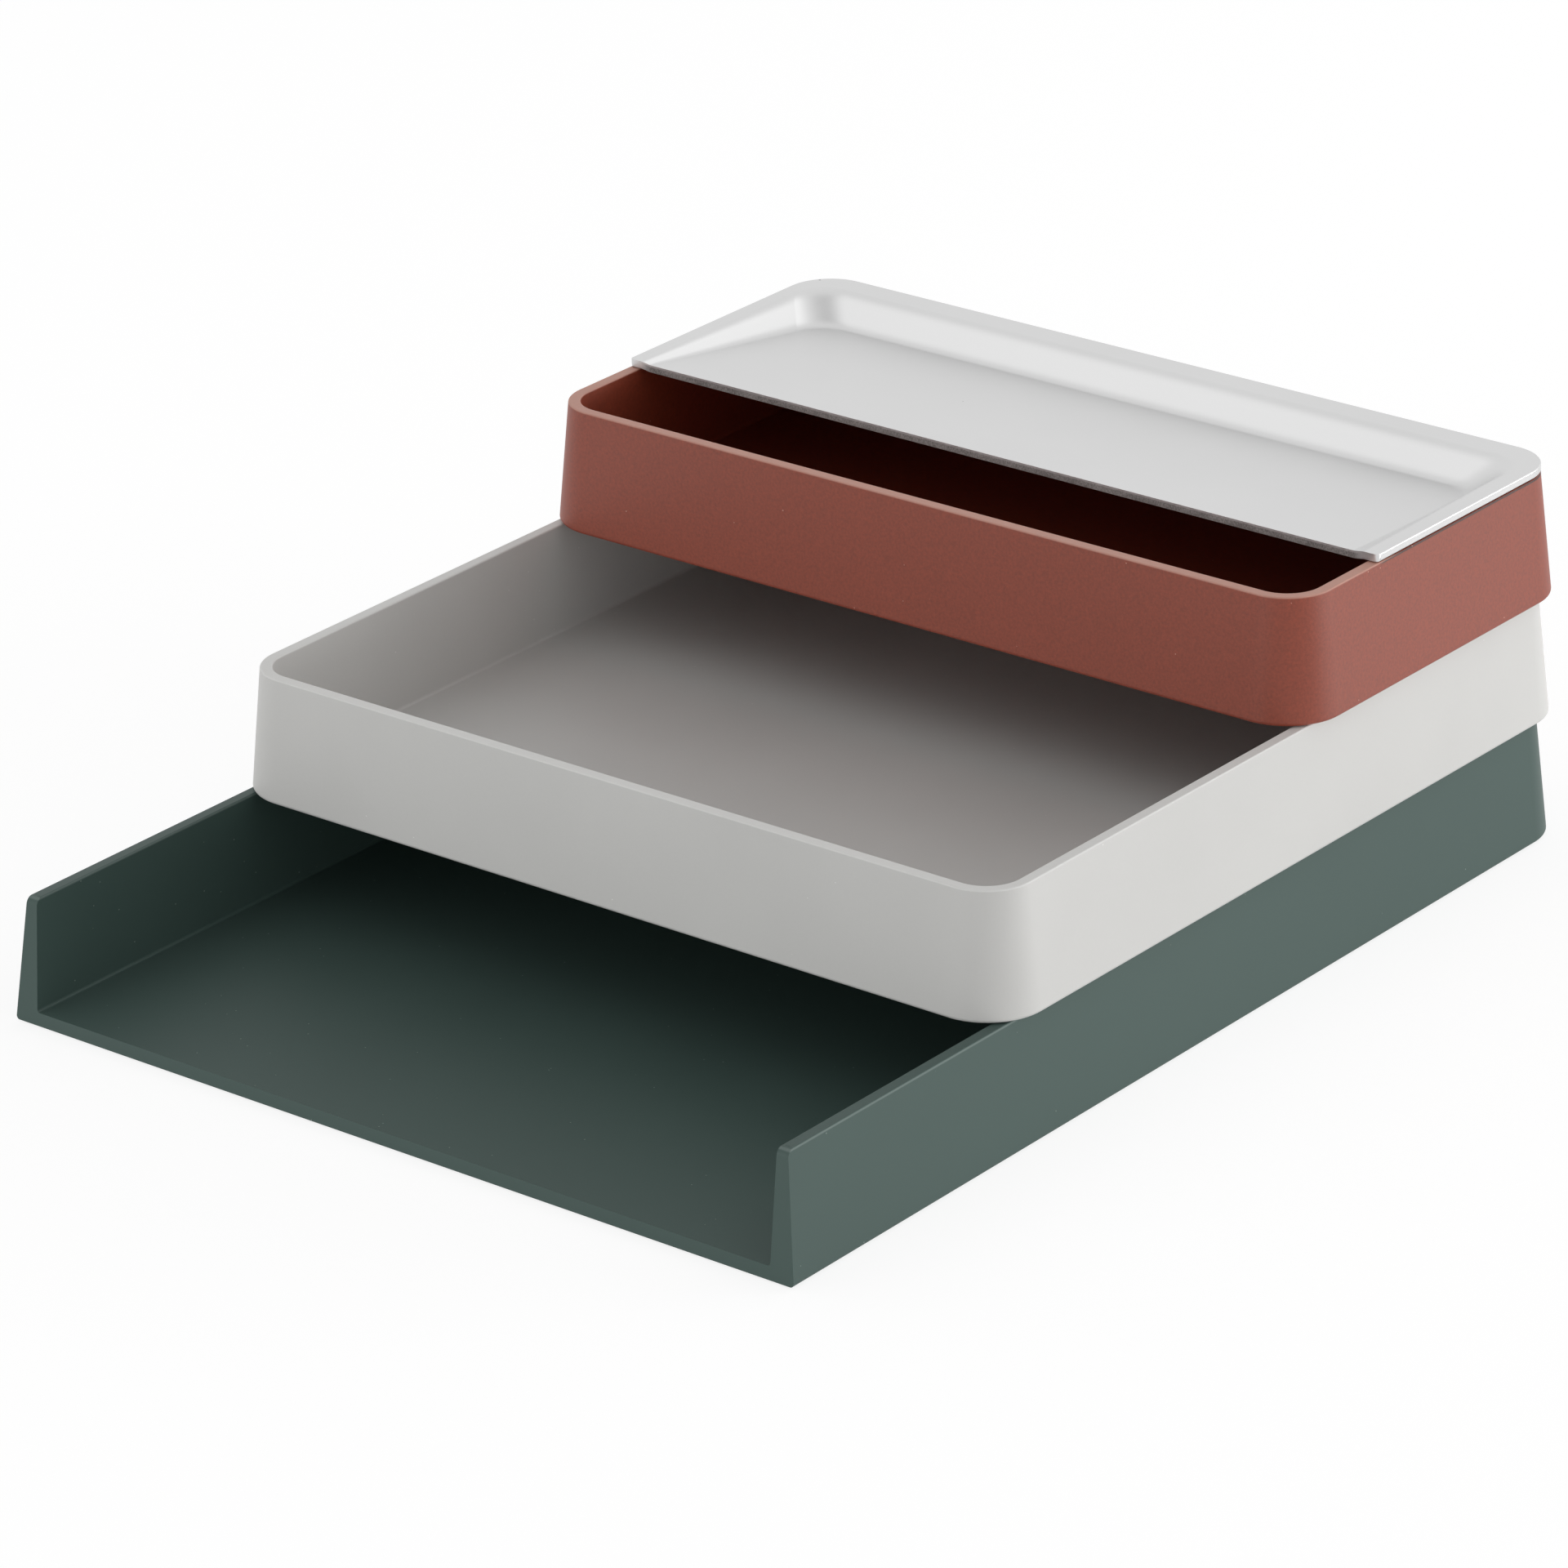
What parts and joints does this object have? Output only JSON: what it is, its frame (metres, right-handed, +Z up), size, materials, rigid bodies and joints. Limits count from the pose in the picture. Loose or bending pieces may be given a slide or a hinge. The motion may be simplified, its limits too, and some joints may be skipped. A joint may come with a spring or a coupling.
{
  "type": "desk tray",
  "caption": "Stack of moulded desk trays of stepped depth, flush at the back: open-fronted letter tray, document tray, small box, and a dished metal lid over the back of the box.",
  "frame": {"origin": "on the desk surface, under the middle of the letter tray's outline", "axes": "+Z up, +Y towards the flush backs of the trays, so that the open front of the letter tray faces -Y, +X to the right seen from the front"},
  "size_m": [0.246, 0.325, 0.1027],
  "materials": {
    "letter_green": "fine matt grain, dark grey-green",
    "document_grey": "fine matt grain, pale warm grey",
    "box_red": "fine matt grain, brick red",
    "blasted_metal": "bead-blasted, satin",
    "foot_rubber": "dark matt rubber"
  },
  "bodies": {
    "letter_tray": {"letter_tray": "letter_green", "letter_tray_foot_front_left": "foot_rubber", "letter_tray_foot_front_right": "foot_rubber", "letter_tray_foot_rear_left": "foot_rubber", "letter_tray_foot_rear_right": "foot_rubber"},
    "document_tray": {"document_tray": "document_grey", "document_tray_foot_front_left": "foot_rubber", "document_tray_foot_front_right": "foot_rubber", "document_tray_foot_rear_left": "foot_rubber", "document_tray_foot_rear_right": "foot_rubber"},
    "top_box": {"top_box": "box_red", "top_box_foot_front_left": "foot_rubber", "top_box_foot_front_right": "foot_rubber", "top_box_foot_rear_left": "foot_rubber", "top_box_foot_rear_right": "foot_rubber"},
    "lid": {"lid": "blasted_metal"}
  },
  "joints": [
    {"name": "document_tray_lift", "type": "slide", "parent": "letter_tray", "child": "document_tray", "axis": [0, 0, 1], "range_m": [0, 0.08]},
    {"name": "top_box_lift", "type": "slide", "parent": "document_tray", "child": "top_box", "axis": [0, 0, 1], "range_m": [0, 0.08]},
    {"name": "lid_lift", "type": "slide", "parent": "top_box", "child": "lid", "axis": [0, 0, 1], "range_m": [0, 0.08]}
  ]
}
